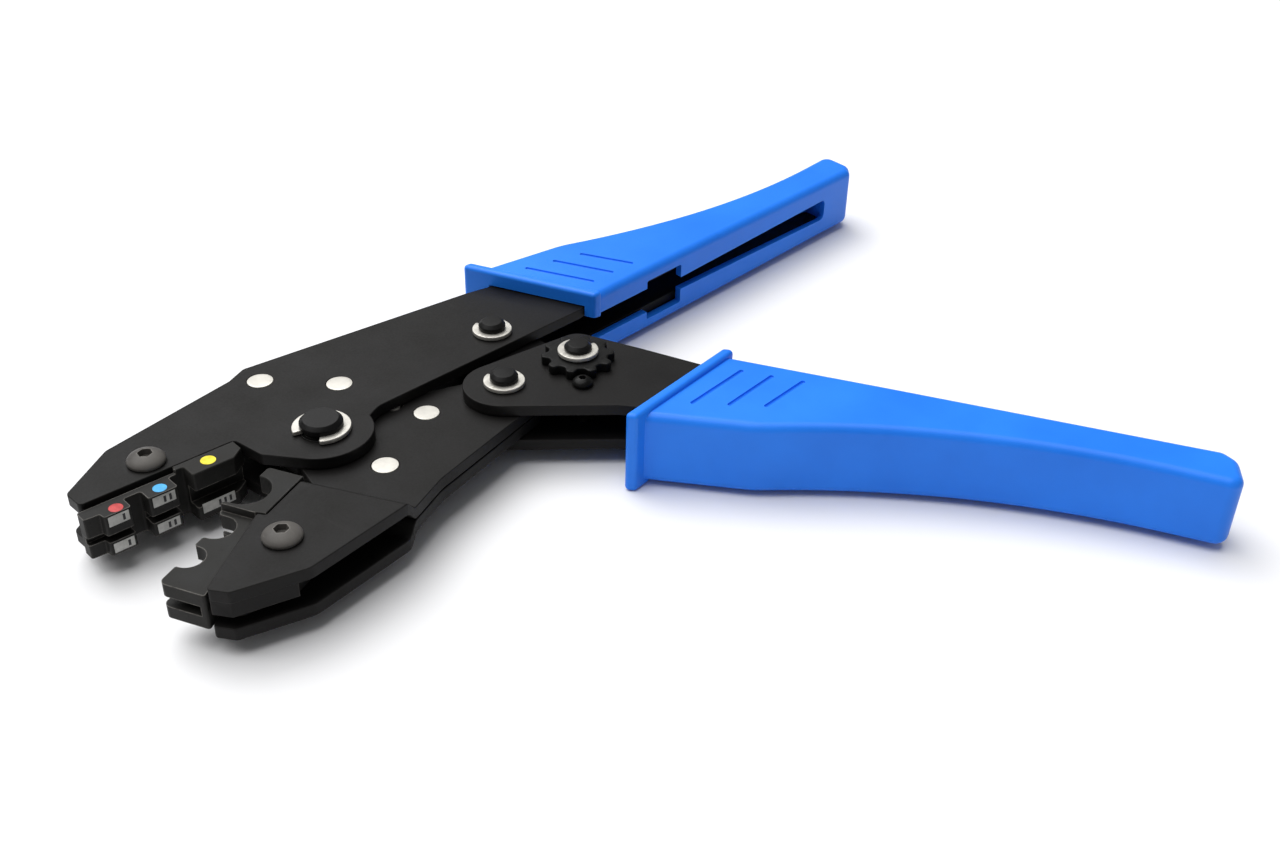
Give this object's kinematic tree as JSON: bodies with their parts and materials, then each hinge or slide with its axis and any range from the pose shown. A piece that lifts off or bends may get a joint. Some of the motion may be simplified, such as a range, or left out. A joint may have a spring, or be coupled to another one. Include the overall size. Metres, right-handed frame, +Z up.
{
  "type": "ratchet crimping tool",
  "caption": "Hand crimping tool with two plate jaws, nested dies, toggle action with a star-wheel adjuster, and two moulded grips on open handles.",
  "frame": {"origin": "main pivot axis at the resting plane, the underside of the main pin's head", "axes": "+X from the jaws towards the handles along the fixed frame, +Z up, out of the side the retaining clips are on, with the tool lying flat"},
  "size_m": [0.2299, 0.1829, 0.0195],
  "materials": {
    "blacked_steel": "black-oxide sheet steel, satin, worn bright on the edges",
    "bright_steel": "ground rivets and spring-steel clips",
    "die_steel": "phosphated die steel with worn lug faces",
    "screw_steel": "grey phosphated screws and nuts",
    "wheel_steel": "blackened star wheel and lock screw",
    "grip_plastic": "satin azure moulded plastic",
    "spring_steel": "drawn spring wire"
  },
  "bodies": {
    "frame": {"frame_plate_upper": "blacked_steel", "frame_plate_lower": "blacked_steel", "frame_rivet_1": "bright_steel", "frame_rivet_2": "bright_steel", "frame_tang_rivet": "blacked_steel", "fixed_die": "die_steel", "fixed_die_screw": "screw_steel", "fixed_die_nut": "screw_steel", "main_pin": "blacked_steel", "main_pin_clip": "bright_steel", "link_pin": "blacked_steel", "link_pin_clip": "bright_steel", "spring_anchor_frame": "bright_steel", "fixed_grip": "grip_plastic", "return_spring": "spring_steel"},
    "jaw": {"jaw_plate_upper": "blacked_steel", "jaw_plate_lower": "blacked_steel", "jaw_rivet_1": "bright_steel", "jaw_rivet_2": "bright_steel", "moving_die": "die_steel", "moving_die_screw": "screw_steel", "moving_die_nut": "screw_steel", "handle_pin": "blacked_steel", "handle_pin_clip": "bright_steel", "spring_anchor_jaw": "bright_steel"},
    "handle": {"handle_plate_upper": "blacked_steel", "handle_plate_lower": "blacked_steel", "handle_rivet_1": "blacked_steel", "handle_rivet_2": "blacked_steel", "eccentric_pin": "blacked_steel", "eccentric_pin_clip": "bright_steel", "star_wheel": "wheel_steel", "lock_screw": "wheel_steel", "pawl_pin": "bright_steel", "pawl_spring_post": "bright_steel", "moving_grip": "grip_plastic", "pawl_spring": "spring_steel"},
    "link": {"toggle_link": "blacked_steel"},
    "pawl": {"ratchet_pawl": "screw_steel"}
  },
  "joints": [
    {"name": "jaw_pivot", "type": "hinge", "parent": "frame", "child": "jaw", "pos_m": [0, 0, 0.00935], "axis": [0, 0, 1], "range_deg": [-25.2, 0], "deforming": ["return_spring"]},
    {"name": "handle_fold", "type": "hinge", "parent": "jaw", "child": "handle", "pos_m": [0.0359, -0.0167, 0.00935], "axis": [0, 0, 1], "range_deg": [0, 75.13], "stiffness_Nm_per_rad": 0.12, "springref_deg": -20.05},
    {"name": "toggle_pivot", "type": "hinge", "parent": "handle", "child": "link", "pos_m": [0.0532, -0.023, 0.00935], "axis": [0, 0, 1], "range_deg": [-80.1, 0]},
    {"name": "pawl_pivot", "type": "hinge", "parent": "handle", "child": "pawl", "pos_m": [0.0616, -0.0379, 0.00935], "axis": [0, 0, 1], "range_deg": [0, 24], "stiffness_Nm_per_rad": 0.01, "springref_deg": -11.46, "deforming": ["pawl_spring"]}
  ],
  "couplings": [
    {"joint": "jaw_pivot", "follows": "handle_fold", "ratio": -0.33452},
    {"joint": "toggle_pivot", "follows": "handle_fold", "ratio": -1.0652}
  ]
}
